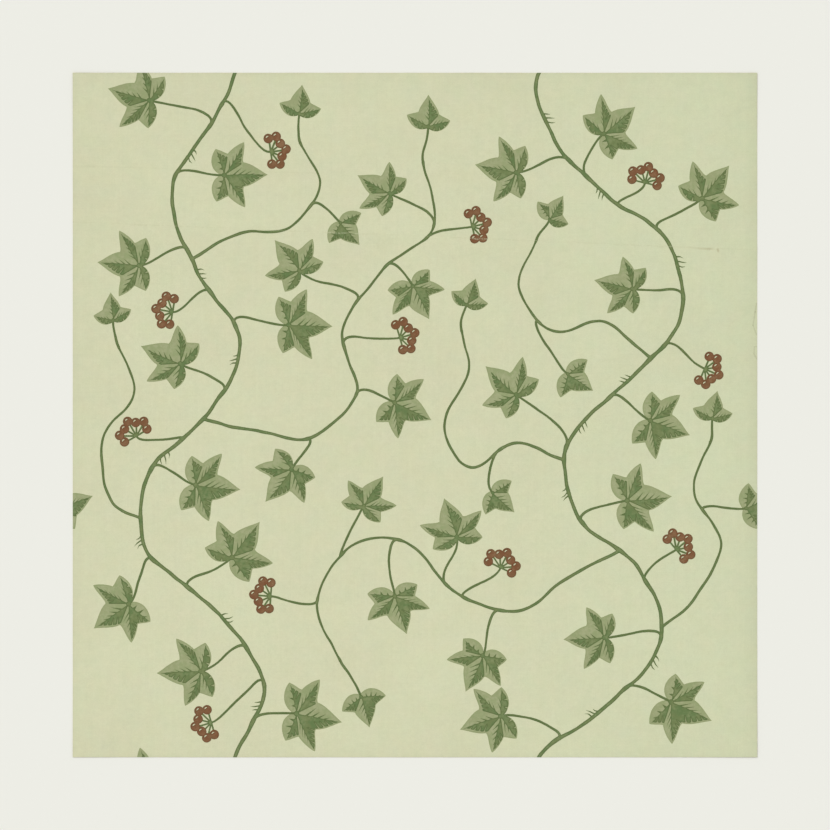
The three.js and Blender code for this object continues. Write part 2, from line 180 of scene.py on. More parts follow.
STEMS = {
    "west": dict(width=(2.7, 2.7), points=[
        (-140, -265), (-118, -206), (-156, -150), (-208, -104), (-206, -44),
        (-160, 2), (-136, 58), (-172, 116), (-188, 176), (-156, 228)]),
    "east": dict(width=(2.7, 2.7), points=[
        (96, -265), (148, -226), (190, -176), (174, -120), (126, -78), (118, -22),
        (160, 22), (204, 72), (196, 134), (146, 172), (106, 216)]),
    "centre": dict(start=("west", 4.9), width=(2.5, 1.6), points=[
        (-124, -12), (-80, -16), (-46, 16), (-56, 66), (-26, 112), (14, 146), (6, 196)]),
    "rim": dict(start=("west", 3.4), width=(2.2, 1.5), points=[
        (-236, -66), (-242, -18), (-218, 18), (-230, 54)]),
    "roof": dict(start=("west", 7.1), width=(2.3, 1.5), points=[
        (-138, 140), (-98, 146), (-74, 178), (-90, 212)]),
    "low": dict(start=("east", 3.35), width=(2.4, 1.6), points=[
        (118, -126), (76, -152), (30, -136), (-8, -98), (-54, -104), (-76, -148), (-58, -190)]),
    "inner": dict(start=("east", 4.75), width=(2.3, 1.5), points=[
        (78, -22), (42, -40), (22, -8), (40, 32), (36, 66)]),
    "crown": dict(start=("east", 6.45), width=(2.3, 1.5), points=[
        (146, 72), (106, 66), (80, 98), (94, 136)]),
    "shore": dict(start=("east", 2.2), width=(2.2, 1.5), points=[
        (218, -140), (236, -100), (216, -58), (228, -20)]),
}


def is_main(name):
    return "start" not in STEMS[name]


def trail_of(name):
    """The main stem that a stem is part of or grows from."""
    return name if is_main(name) else STEMS[name]["start"][0]


def on_stems(table):
    """The rows of a table that is kept by stem, each with the stem's name before it."""
    return [(stem, *row) for stem, rows in table.items() for row in rows]


# Leaves: place along the stem, x and y of the stalk's end, heading in degrees, length.
LEAVES = on_stems({
    "west": [
        (0.5, -92, -231, -6, 36), (1.45, -166, -198, 186, 34), (2.35, -142, -110, 52, 35),
        (2.85, -222, -146, 214, 33), (4.05, -170, -54, -10, 35), (5.3, -182, 40, 150, 33),
        (6.2, -98, 70, 4, 34), (7.2, -214, 116, 180, 32), (8.15, -148, 186, 2, 34),
        (8.9, -206, 244, 164, 33),
    ],
    "east": [
        (0.35, 66, -233, 196, 33), (1.3, 198, -222, -30, 35), (2.05, 146, -172, 176, 31),
        (3.9, 164, -66, 10, 35), (4.95, 78, 16, 140, 32), (5.8, 182, -4, -20, 33),
        (7.3, 168, 98, 166, 30), (8.2, 222, 168, 46, 33), (9.3, 146, 218, 34, 32),
        (9.6, 78, 188, 176, 32),
    ],
    "centre": [
        (1.9, -96, -42, -124, 32), (3.0, -16, 10, -24, 32), (4.45, -90, 112, 128, 30),
        (5.1, -2, 100, -66, 29), (6.05, -20, 172, 146, 28), (7.0, 10, 224, 82, 24),
    ],
    "rim": [(4.0, -234, 74, 100, 21)],
    "roof": [(2.55, -58, 149, -46, 23), (4.0, -90, 234, 84, 22)],
    "low": [
        (2.2, 52, -186, -116, 31), (3.15, 32, -94, 104, 31), (4.1, -16, -140, -78, 31),
        (5.1, -40, -70, 62, 27), (7.0, -42, -218, -70, 25),
    ],
    "inner": [(1.3, 60, -60, -40, 23), (5.0, 40, 86, 70, 21)],
    "crown": [(2.3, 118, 32, -36, 24), (4.0, 104, 152, 54, 21)],
    "shore": [(2.6, 256, -72, 14, 26), (4.0, 230, -2, 84, 21)],
})
FIVE_LOBED = 27  # the length from which a leaf has five lobes, not three

# Bunches of berries: place along the stem, x and y of the hub, heading in degrees.
BUNCHES = on_stems({
    "west": [
        (0.95, -158, -238, 196), (4.55, -216, -16, 120), (6.65, -188, 80, 170), (9.35, -112, 204, 8),
    ],
    "centre": [(3.75, -12, 60, 16), (5.8, 44, 146, 14)],
    "east": [(2.85, 202, -104, 40), (6.65, 224, 36, -24), (8.75, 178, 180, 76)],
    "low": [(2.8, 66, -118, 64), (5.9, -112, -140, 176)],
})

# Climbing rootlets: stem, place along it, side (1 left of the way the stem grows, -1 right).
ROOTLETS = [
    ("west", 0.7, 1), ("west", 1.85, -1), ("west", 3.15, 1), ("west", 4.3, -1), ("west", 5.75, 1),
    ("west", 6.9, -1), ("west", 8.5, -1), ("east", 0.85, 1), ("east", 1.75, -1), ("east", 4.35, 1),
    ("east", 5.35, -1), ("east", 6.1, 1), ("east", 7.75, -1), ("east", 9.05, 1), ("east", 10.3, -1),
]

# Half of a leaf, from its tip round to the stalk, as Bezier pieces: two controls and an end.
LEAF_SIDES = {
    "five": [
        ((0.88, 0.05), (0.64, 0.27), (0.45, 0.29)),
        ((0.4, 0.36), (0.49, 0.6), (0.46, 0.78)),
        ((0.33, 0.74), (0.15, 0.6), (0.09, 0.51)),
        ((0.03, 0.52), (-0.08, 0.6), (-0.19, 0.63)),
        ((-0.31, 0.46), (-0.36, 0.14), (-0.07, 0)),
    ],
    "three": [
        ((0.88, 0.05), (0.62, 0.3), (0.42, 0.34)),
        ((0.36, 0.42), (0.34, 0.56), (0.26, 0.72)),
        ((0.02, 0.66), (-0.3, 0.34), (-0.07, 0)),
    ],
}


# Plane geometry.


def heading(degrees):
    return cmath.rect(1, math.radians(degrees))


def unit(way):
    return way / abs(way)


def between(a, b, t):
    return a + (b - a) * t


def bezier(piece, t):
    a, b, c, d = piece
    s = 1 - t
    return s * s * s * a + 3 * s * s * t * b + 3 * s * t * t * c + t * t * t * d


def dot(a, b):
    return a.real * b.real + a.imag * b.imag


def edges_of(loop):
    """Each point of a loop with the one after it."""
    return zip(loop, loop[1:] + loop[:1])


def corners_of(loop):
    """Each point of a loop between the one before it and the one after it."""
    return zip(loop[-1:] + loop[:-1], loop, loop[1:] + loop[:1])


def area(loop):
    return sum((a.conjugate() * b).imag for a, b in edges_of(loop)) / 2


def box_of(points):
    """The lowest and the highest corner of the box round some points."""
    xs, ys = zip(*((point.real, point.imag) for point in points))
    return complex(min(xs), min(ys)), complex(max(xs), max(ys))


def random_numbers(seed):
    """Numbers from -1 to 1, the same on every run and the same as the CAD draws."""
    state = seed * SEED_STEP % PRIME
    for _ in range(WARM_UP):
        state = state * MULTIPLIER % PRIME
    while True:
        state = state * MULTIPLIER % PRIME
        yield 2 * state / PRIME - 1


# The drawing: stems, stalks, leaves, berries and rootlets.


def stem_point(name, index):
    """Point number index of a stem. A main stem goes on in the next repeat; a shoot runs straight on."""
    points = [complex(*point) for point in STEMS[name]["points"]]
    if is_main(name):
        lap, i = divmod(index, len(points))
        return points[i] + complex(0, lap * SHEET)
    points.insert(0, stem_at(*STEMS[name]["start"]))
    if index < 0:
        return between(points[1], points[0], 2)
    if index >= len(points):
        return between(points[-2], points[-1], 2)
    return points[index]


def wander(place, rate, start):
    """A value from about -1 to 1 that changes slowly over the sheet and repeats as the design does."""
    value = 0
    for k, (across, up, share) in enumerate(WAVES, 1):
        turns = rate * (across * place.real + up * place.imag) / SHEET + start * k
        value += share * math.sin(2 * math.pi * turns)
    return value


def sway(place):
    """How far a line that is drawn by hand strays from a smooth one."""
    strays = [complex(*(wander(place, rate, start) for start in SWAY_STARTS)) / rate for rate in SWAY_RATES]
    return SWAY * sum(strays)


def stem_at(name, place):
    """A place along a stem, on a smooth curve through its points, swaying a little."""
    k = math.floor(place)
    if not is_main(name):
        k = min(k, len(STEMS[name]["points"]) - 1)
    t = place - k
    a, b, c, d = (stem_point(name, k + i) for i in (-1, 0, 1, 2))
    curve = 2 * b + (c - a) * t + (2 * a - 5 * b + 4 * c - d) * t * t
    smooth = 0.5 * (curve + (3 * b - a - 3 * c + d) * t * t * t)
    return smooth + sway(smooth)


def stem_heading(name, place):
    """The way that a stem grows at a place along it."""
    return unit(stem_at(name, place + HEADING_STEP) - stem_at(name, place - HEADING_STEP))


def ribbon(points, width, knees=None):
    """The outline of a drawn line, as wide as width says at its two ends, and wider by its knees."""
    last = len(points) - 1
    left, right = [], []
    for i, point in enumerate(points):
        way = unit(points[min(i + 1, last)] - points[max(i - 1, 0)])
        half = between(width[0], width[1], i / last) / 2
        swell = knees[i] if knees else 0
        on_left, on_right = (
            half * (1 + LINE_WANDER * wander(point, WIDTH_RATE, start)) + swell for start in WIDTH_STARTS
        )
        left.append(point + way * 1j * on_left)
        right.append(point - way * 1j * on_right)
    return left + right[::-1]


def knee(name, place):
    """How much a stem stands out at a place because something leaves it there or near there."""
    leaving = [row[1] for row in LEAVES + BUNCHES if row[0] == name]
    shoots = [shoot for shoot in STEMS if not is_main(shoot) and trail_of(shoot) == name]
    leaving += [STEMS[shoot]["start"][1] for shoot in shoots]
    span = len(STEMS[name]["points"]) if is_main(name) else math.inf
    swell = 0
    for other in leaving:
        gap = abs(place - other) % span
        swell = max(swell, math.exp(-((min(gap, span - gap) / KNEE_REACH) ** 2)))
    return KNEE * swell


def stalk(stem, place, end, turn, width, steps=18):
    """A stalk leaves its stem the way the stem grows and ends at a point, in a given direction."""
    start = stem_at(stem, place)
    reach = STALK_REACH * abs(end - start) / 3
    piece = (start, start + stem_heading(stem, place) * reach, end - heading(turn) * reach, end)
    points = []
    for i in range(steps + 1):
        t = i / steps
        point = bezier(piece, t)
        points.append(point + sway(point) * 4 * t * (1 - t))
    return ribbon(points, width)


def circle(middle, radius, sides=36):
    return [middle + radius * heading(360 * i / sides) for i in range(sides)]


def stem_outline(name, steps=28):
    """A stem's outline; a main stem is drawn past both ends of the sheet, which cuts it off."""
    past = 1 if is_main(name) else 0
    places = [i / steps - past for i in range((len(STEMS[name]["points"]) + 2 * past) * steps + 1)]
    knees = [knee(name, place) for place in places]
    return ribbon([stem_at(name, place) for place in places], STEMS[name]["width"], knees)


def leaf_sides(kind, seed):
    """Both sides of a leaf as Bezier pieces from the tip to the stalk, each leaf a little different."""
    random = random_numbers(seed)
    stretch = [1 + LEAF_STRETCH * next(random) for _ in range(2)]
    bend = LEAF_BEND * next(random)
    lean = [LEAF_LEAN * next(random) for _ in range(2)]

    def fitted(point, k):
        along = point[0] + lean[k] * point[1]
        side = 1 - 2 * k
        return complex(along, point[1] * stretch[k] * side + bend * along * abs(along))

    sides = []
    for k in range(2):
        start = (1, 0)
        pieces = []
        for first, second, end in LEAF_SIDES[kind]:
            pieces.append(tuple(fitted(point, k) for point in (start, first, second, end)))
            start = end
        sides.append(pieces)
    return sides


def leaf_kind(length):
    return "five" if length >= FIVE_LOBED else "three"


def leaf_outline(kind, seed, steps=12):
    """A leaf's outline: its left side from the tip to the stalk, and its right side back."""
    left, right = (
        [bezier(piece, i / steps) for piece in side for i in range(steps)]
        for side in leaf_sides(kind, seed)
    )
    base = leaf_sides(kind, seed)[0][-1][3]
    return left + [base] + right[:0:-1]


def leaf_lobes(kind, seed):
    """Each lobe of a leaf: its tip, and its left and right flank, from the dip to the tip."""
    left, right = leaf_sides(kind, seed)
    lobes = [(left[0][0], left[0][::-1], right[0][::-1])]
    for k in range(1, len(left), 2):
        lobes.append((left[k][3], left[k + 1][::-1], left[k]))
        lobes.append((right[k][3], right[k], right[k + 1][::-1]))
    return lobes


def lobe_shading(tip, dark, lit, sag, inset, facing, random):
    """One lobe's shading: blunt teeth to the rim on its dark flank, thin spikes on the lit one."""
    teeth = max(FEWEST_TEETH, round(TEETH * abs(tip)))

    def vein(t):
        return tip * complex(t, sag * t * (1 - t))

    outline = [0j]
    for k in range(teeth):
        first, last = k / teeth, (k + TOOTH_FILL) / teeth
        outline.append(bezier(dark, DARK_END * first) * (inset - TOOTH_SLOPE))
        outline.append(bezier(dark, DARK_END * (first + last) / 2) * inset)
        outline.append(bezier(dark, DARK_END * last) * (inset - TOOTH_SLOPE))
        if k < teeth - 1:
            start, span, place = NOTCH_ROOT
            root = vein(start + span * (k + place) / teeth)
            rim = bezier(dark, DARK_END * (k + NOTCH_RIM) / teeth) * inset
            outline.append(between(root, rim, NOTCH_REACH[0] + NOTCH_REACH[1] * next(random)))
    outline.append(vein(VEIN_END))
    start, span = SPIKE_ROOT
    for k in reversed(range(teeth)):
        upper, lower = (vein(start + span * (k + place) / teeth) for place in SPIKE_SIDES)
        rim = bezier(lit, LIT_END * (k + SPIKE_TIP[0]) / teeth) * SPIKE_TIP[1]
        reach = SPIKE_REACH[0] + SPIKE_REACH[1] * facing + SPIKE_REACH[2] * next(random)
        outline += [upper, between(upper, rim, reach), lower]
    return outline


def leaf_shading(kind, seed, turn):
    """The shaded parts of a leaf, on the side of each lobe away from the light."""
    random = random_numbers(seed + SHADING_SEED)
    finer = random_numbers(seed + TOOTH_SEED)
    shading = []
    for tip, left, right in leaf_lobes(kind, seed):
        way = unit(tip) * heading(turn)
        facing = dot(way, LIGHT)
        dark, lit = (right, left) if dot(way * 1j, LIGHT) > 0 else (left, right)
        sag = VEIN_SAG * next(random)
        inset = INSET - INSET_BY_LIGHT * facing + INSET_SPREAD * next(random)
        shading.append(lobe_shading(tip, dark, lit, sag, inset, facing, finer))
    return shading


def placed(outline, middle, turn, length):
    return [middle + length * heading(turn) * point for point in outline]


def berries(middle, turn):
    """The middles of a bunch's berries: two staggered rows round the hub."""
    return [
        middle + BERRY_SPREAD[k % 2] * heading(turn + (k - (BERRY_COUNT - 1) / 2) * BERRY_STEP)
        for k in range(BERRY_COUNT)
    ]


def glint(berry, steps=4):
    """The bare spot of a berry, a crescent towards the light."""
    outline = []
    for side in (1, -1):
        for i in range(-steps, steps):
            share = side * i / steps
            radius = GLINT_PLACE - side * GLINT_WIDTH / 2 * (1 - share ** 2)
            outline.append(berry + radius * unit(LIGHT) * heading(GLINT_TURN * share))
    return outline


def rootlets(stem, place, side):
    """A few short rootlets, side by side, on one side of a stem."""
    grow, root = stem_heading(stem, place), stem_at(stem, place)
    way = grow * heading(side * (90 + ROOTLET_LEAN))
    outlines = []
    for k in range(ROOTLET_COUNT):
        start = root + grow * (k - (ROOTLET_COUNT - 1) / 2) * ROOTLET_STEP
        vary, turn = (wander(start, ROOTLET_RATE, first) for first in ROOTLET_STARTS)
        length = ROOTLET_LENGTH * ROOTLET_SHARES[k] * (1 + ROOTLET_VARY * vary)
        bow = way * heading(ROOTLET_FAN * (k - 1) + ROOTLET_FAN * turn)
        outlines.append([
            start - grow * ROOTLET_WIDTH / 2,
            start + grow * ROOTLET_WIDTH / 2,
            start + bow * length * ROOTLET_WAIST[0] + grow * ROOTLET_WAIST[1],
            start + way * length,
            start + bow * length * ROOTLET_WAIST[0] - grow * ROOTLET_WAIST[1],
        ])
    return outlines


def trail_outlines(trail):
    """Everything in mid green that grows on one main stem."""
    outlines = [stem_outline(name) for name in STEMS if trail_of(name) == trail]
    for number, (stem, place, x, y, turn, length) in enumerate(LEAVES, 1):
        if trail_of(stem) == trail:
            end = complex(x, y)
            shading = leaf_shading(leaf_kind(length), number, turn)
            outlines.append(stalk(stem, place, end, turn, STALK_WIDTH))
            outlines.append(circle(end, HUB_RADIUS * length))
            outlines += [placed(part, end, turn, length) for part in shading]
    for stem, place, x, y, turn in BUNCHES:
        if trail_of(stem) == trail:
            hub = complex(x, y)
            outlines.append(stalk(stem, place, hub, turn, BERRY_STALK_WIDTH))
            outlines += [ribbon([hub, berry], (RAY_WIDTH, RAY_WIDTH)) for berry in berries(hub, turn)]
    for stem, place, side in ROOTLETS:
        if trail_of(stem) == trail:
            outlines += rootlets(stem, place, side)
    return outlines


# From outlines to films of colour.


def repeated(outlines, slip):
    """The copies of some outlines that touch the sheet, one repeat away in each direction at most."""
    copies = []
    for outline in outlines:
        low, high = box_of(outline)
        for dx in (-SHEET, 0, SHEET):
            for dy in (-SHEET, 0, SHEET):
                touches_x = low.real + dx < HALF and high.real + dx > -HALF
                touches_y = low.imag + dy < HALF and high.imag + dy > -HALF
                if touches_x and touches_y:
                    copies.append([point + complex(dx, dy) + slip for point in outline])
    return copies


def planned(layers, points=(), merge=1e-3):
    """Splits the plane into triangles along some layers of loops.

    A place is inside a layer if its loops run round it more often to the left than to the right, so a loop
    that turns right is a hole. Returns the places, the triangles and the set of layers round each triangle.
    """
    places, runs, owners = [], [], []
    for k, loops in enumerate(layers.values()):
        for loop in loops:
            first, count = len(places), len(loop)
            runs += [(first + i, first + (i + 1) % count) for i in range(count)]
            owners += [k] * count
            places += loop
    flat = [Vector((place.real, place.imag)) for place in [*places, *points]]
    found, edges, triangles, _, origins, _ = delaunay_2d_cdt(flat, runs, [], 0, merge, True)
    spots = [complex(*place) for place in found]
    none = [0] * len(layers)
    gains = {}
    for (a, b), sources in zip(edges, origins):
        for source in sources:
            start, end = runs[source]
            turn = 1 if dot(spots[b] - spots[a], places[end] - places[start]) > 0 else -1
            gains.setdefault((a, b), list(none))[owners[source]] += turn
            gains.setdefault((b, a), list(none))[owners[source]] -= turn
    left_of = {edge: n for n, t in enumerate(triangles) for edge in edges_of(t)}
    depths = [None] * len(triangles)
    for outer, n in left_of.items():
        if outer[::-1] in left_of or depths[n] is not None:
            continue
        depths[n] = gains.get(outer, none)
        todo = [n]
        while todo:
            here = todo.pop()
            for a, b in edges_of(triangles[here]):
                beyond = left_of.get((b, a))
                if beyond is None or depths[beyond] is not None:
                    continue
                gain = gains.get((b, a))
                depths[beyond] = [sum(pair) for pair in zip(depths[here], gain)] if gain else depths[here]
                todo.append(beyond)
    inside = [{name for name, depth in zip(layers, counts) if depth > 0} for counts in depths]
    return spots, [tuple(t) for t in triangles], inside


def rims(triangles):
    """The edges that only one triangle has, as closed loops of points with the triangles on their left."""
    edges = {edge for t in triangles for edge in edges_of(t)}
    onward = {}
    for a, b in edges:
        if (b, a) not in edges:
            onward.setdefault(a, []).append(b)
    loops = []
    while onward:
        start = min(onward)
        loop = [start]
        while True:
            ends = onward[loop[-1]]
            following = ends.pop()
            if not ends:
                del onward[loop[-1]]
            if following == start:
                break
            loop.append(following)
        loops.append(loop)
    return loops


def bodies(triangles):
    """Triangles that hold together by their edges, as lists of their numbers."""
    owner = {edge: i for i, t in enumerate(triangles) for edge in edges_of(t)}
    left = set(range(len(triangles)))
    found = []
    while left:
        todo = [min(left)]
        left.discard(todo[0])
        body = []
        while todo:
            i = todo.pop()
            body.append(i)
            for a, b in edges_of(triangles[i]):
                j = owner.get((b, a))
                if j in left:
                    left.discard(j)
                    todo.append(j)
        found.append(body)
    return found


def hand_cut(loop, layer):
    """A loop with its corners rounded, its long edges divided and the slight wander of a hand-cut block."""
    clean = []
    for point in loop:
        if not clean or abs(point - clean[-1]) > SHORTEST:
            clean.append(point)
    if len(clean) > 3 and abs(clean[0] - clean[-1]) < SHORTEST:
        clean.pop()
    rounded = []
    for before, point, after in corners_of(clean):
        corner = abs(cmath.phase((after - point) / (point - before)))
        if corner < math.radians(SHARP):
            rounded.append(point)
            continue
        near, far = (
            between(point, end, min(ROUND / abs(end - point), MOST_ROUND)) for end in (before, after)
        )
        rounded += [near, (near + 2 * point + far) / 4, far]
    divided = []
    for point, after in edges_of(rounded):
        parts = max(1, math.ceil(abs(after - point) / STEP))
        divided += [between(point, after, i / parts) for i in range(parts)]
    result = []
    for point in divided:
        spot = Vector((point.real / RAGGED_SPAN, point.imag / RAGGED_SPAN, RAGGED_NOISE[layer]))
        stray = noise.noise_vector(spot)
        result.append(point + RAGGED * complex(stray.x, stray.y))
    return result


def printed_loops(outlines, layer, holes=()):
    """The edge of everything that one block prints, as loops that may run past the sheet's edge."""
    copies = [outline if area(outline) > 0 else outline[::-1] for outline in outlines]
    copies += [hole if area(hole) < 0 else hole[::-1] for hole in holes]
    places, triangles, inside = planned({"all": repeated(copies, SLIP.get(layer, 0j))})
    kept = [t for t, layers in zip(triangles, inside) if layers]
    loops = [[places[i] for i in loop] for loop in rims(kept)]
    return [hand_cut(loop, layer) for loop in loops if abs(area(loop)) > SMALLEST]


def grid_place(i, j):
    """A grid point, on the sheet's cut edge where it is the last of its row or column."""
    x, y = GRID[i], GRID[j]
    stray = Vector()
    for span, depth, share in CUT_WAVES:
        stray += noise.noise_vector(Vector((x / span, y / span, depth))) * share
    if i in (0, CELLS):
        x += CUT_WANDER * stray.x
    if j in (0, CELLS):
        y += CUT_WANDER * stray.y
    return complex(x, y)


def sheet_edge():
    """The sheet's cut edge as places, anticlockwise."""
    steps = [(i, 0) for i in range(CELLS)]
    steps += [(CELLS, j) for j in range(CELLS)]
    steps += [(i, CELLS) for i in range(CELLS, 0, -1)]
    steps += [(0, j) for j in range(CELLS, 0, -1)]
    return [grid_place(i, j) for i, j in steps]


SHEET_EDGE = sheet_edge()


def lie(place):
    """How far the sheet stands off the floor at a place."""
    x, y = place.real, place.imag
    wave = noise.noise(Vector((x / COCKLE_SPAN[0], y / COCKLE_SPAN[1], COCKLE_NOISE)))
    inland = min(1, max(0, HALF - max(abs(x), abs(y))) / COCKLE_BORDER)
    height = COCKLE * (wave + COCKLE_RAISE) ** 2 * inland ** 2 * (3 - 2 * inland)
    for corner, lift, reach in CORNER_LIFTS:
        height += lift * max(0, 1 - abs(place - corner * HALF) / reach) ** 2
    height += ROLL_LIFT * max(0, (abs(y) - HALF + ROLL_REACH) / ROLL_REACH) ** 2
    along = unit(FOLD[1] - FOLD[0])
    off = dot(place - FOLD[0], along * 1j)
    return height + FOLD_HEIGHT * math.exp(-((off / FOLD_WIDTH) ** 2))


class Shell:
    """A closed mesh as it is made: points known by their place and level, and faces."""

    def __init__(self):
        self.known = {}
        self.points = []
        self.faces = []
        self.edge = []

    def spot(self, place, level, height, edge=0.0):
        key = (place, level)
        if key not in self.known:
            self.known[key] = len(self.points)
            self.points.append((place.real * MM, place.imag * MM, (lie(place) + height) * MM))
            self.edge.append(edge)
        return self.known[key]

    def piece(self, name, material, slot, node):
        """Writes the mesh as a piece of the scene that stands for a CAD node."""
        mesh = bpy.data.meshes.new(name)
        mesh.from_pydata(self.points, [], self.faces)
        mesh.validate()
        distance = mesh.attributes.new("edge_distance", "FLOAT", "POINT")
        distance.data.foreach_set("value", self.edge)
        mesh.shade_smooth()
        mesh.set_sharp_from_angle(angle=math.radians(SMOOTH_TO))
        mesh.materials.append(material)
        piece = bpy.data.objects.new(name, mesh)
        bpy.context.scene.collection.objects.link(piece)
        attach(piece, "root")
        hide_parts(node)


def slab(name, bottom, top, material, slot, node):
    """A layer of the whole sheet, on its grid, between two heights."""
    shell = Shell()
    for j in range(CELLS):
        for i in range(CELLS):
            corners = [grid_place(i + across, j + up) for across, up in ((0, 0), (1, 0), (1, 1), (0, 1))]
            shell.faces.append([shell.spot(place, "top", top) for place in corners])
            shell.faces.append([shell.spot(place, "bottom", bottom) for place in reversed(corners)])
    for a, b in edges_of(SHEET_EDGE):
        shell.faces.append([
            shell.spot(a, "bottom", bottom), shell.spot(b, "bottom", bottom),
            shell.spot(b, "top", top), shell.spot(a, "top", top),
        ])
    shell.piece(name, material, slot, node)


class Nearness:
    """Distances from the printed edges of some loops."""

    def __init__(self, loops):
        self.segments = [edge for loop in loops for edge in edges_of(loop)]
        self.tree = kdtree.KDTree(2 * len(self.segments))
        for i, (a, b) in enumerate(self.segments):
            for place in (a, (a + b) / 2):
                self.tree.insert((place.real, place.imag, 0), i)
        self.tree.balance()

    def __call__(self, place):
        best = EDGE_SEEN
        for _, i, _ in self.tree.find_n((place.real, place.imag, 0), EDGES_TRIED):
            a, b = self.segments[i]
            t = dot(place - a, b - a) / max(abs(b - a) ** 2, 1e-12)
            best = min(best, abs(place - between(a, b, min(1, max(0, t)))))
        return best


def ring_points(loops, near):
    """Rows of points beside the loops, so that the rim of colour has a shape of its own."""
    points = []
    for loop in loops:
        for before, place, after in corners_of(loop):
            across = unit(after - before) * 1j
            for ring in RINGS:
                for side in (1, -1):
                    point = place + across * ring * side
                    if near(point) > RING_CLEAR * ring:
                        points.append(point)
    return points


def thinned(points, span):
    """The points with none nearer to an earlier one than span."""
    kept, cells = [], {}
    for point in points:
        cell = (math.floor(point.real / span), math.floor(point.imag / span))
        close = (
            other
            for dx in (-1, 0, 1)
            for dy in (-1, 0, 1)
            for other in cells.get((cell[0] + dx, cell[1] + dy), ())
        )
        if all(abs(point - other) > span for other in close):
            kept.append(point)
            cells.setdefault(cell, []).append(point)
    return kept


def inner_points(loops, near):
    """Evenly strewn points over the box of some loops, clear of their edges."""
    low, high = box_of([place for loop in loops for place in loop])
    points = []
    for j in range(math.ceil((high.imag - low.imag) / INNER_SPAN) + 1):
        for i in range(math.ceil((high.real - low.real) / INNER_SPAN) + 1):
            shift = 0.5 * (j % 2)
            point = low + complex(i + shift, j) * INNER_SPAN
            if near(point) > INNER_SPAN / 2:
                points.append(point)
    return points


def film_relief(place, distance):
    """How a film's top differs from flat: a soft edge, a raised rim and uneven colour."""
    if distance < RINGS[0]:
        rim = between(-RIM_DROP, RIM_HEIGHT, distance / RINGS[0])
    else:
        rim = RIM_HEIGHT * max(0, 1 - (distance - RINGS[0]) / (RINGS[1] - RINGS[0]))
    swell = noise.noise(Vector((place.real / SWELL_SPAN, place.imag / SWELL_SPAN, SWELL_NOISE)))
    return rim + FILM_SWELL * swell


def print_film(motif, shade, loops, top, over=(), without=()):
    """Prints one colour: the inside of some loops, over some other films and without the places of some."""
    layers = {"film": loops, "over": over, "without": without}
    needed = {"film"}
    low, high = box_of([place for loop in loops for place in loop])
    if max(-low.real, -low.imag, high.real, high.imag) > HALF - CUT_REACH:
        layers["sheet"] = [SHEET_EDGE]
        needed.add("sheet")
    places, triangles, inside = planned(layers)
    floors = [None] * len(triangles)
    for i, layer in enumerate(inside):
        if needed <= layer and "without" not in layer:
            floors[i] = (LIGHT_TOP if "over" in layer else GROUND_TOP) - SINK
    floors = corners_mended(places, triangles, floors)
    kept = [(triangle, floor) for triangle, floor in zip(triangles, floors) if floor]
    near = Nearness([*loops, *without])
    scraps = [[kept[i] for i in body] for body in bodies([triangle for triangle, _ in kept])]
    scraps.sort(key=lambda scrap: -sum(plan_area(places, triangle) for triangle, _ in scrap))
    for number, scrap in enumerate(scraps):
        tail = f"_cut_{number}" if number else ""
        node = f"{motif}_{shade}{tail}"
        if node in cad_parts:
            shell = film_shell(places, *zip(*scrap), top, near)
            shell.piece(f"{motif}_film{tail}", INK[shade], f"{shade}_print", node)


def plan_area(places, triangle):
    return area([places[i] for i in triangle])


def fans(triangles):
    """For each point the triangles round it, in order; at the outer border they start and end there."""
    around = {}
    for n, t in enumerate(triangles):
        for c, a, b in corners_of(t):
            around.setdefault(a, {})[b] = (c, n)
    for spokes in around.values():
        ends = {end for end, _ in spokes.values()}
        spoke = next((spoke for spoke in spokes if spoke not in ends), next(iter(spokes)))
        fan = []
        while spoke in spokes and len(fan) < len(spokes):
            spoke, n = spokes[spoke]
            fan.append(n)
        yield fan


def corners_mended(places, triangles, floors):
    """Floors of the triangles, changed a little so that no parts of a level meet only in a point."""
    floors = list(floors)
    for fan in [fan for fan in fans(triangles) if len({floors[n] for n in fan}) > 1]:
        for levels in ({GROUND_TOP - SINK}, {GROUND_TOP - SINK, LIGHT_TOP - SINK}):
            runs = [[fan[0]]]
            for before, n in zip(fan, fan[1:]):
                if (floors[n] in levels) != (floors[before] in levels):
                    runs.append([])
                runs[-1].append(n)
            if len(runs) > 2 and (floors[fan[-1]] in levels) == (floors[fan[0]] in levels):
                runs[0] = runs.pop() + runs[0]
            if len(runs) > 2:
                smallest = min(runs, key=lambda run: sum(plan_area(places, triangles[n]) for n in run))
                other = runs[runs.index(smallest) - 1][-1]
                for n in smallest:
                    floors[n] = floors[other]
    return floors


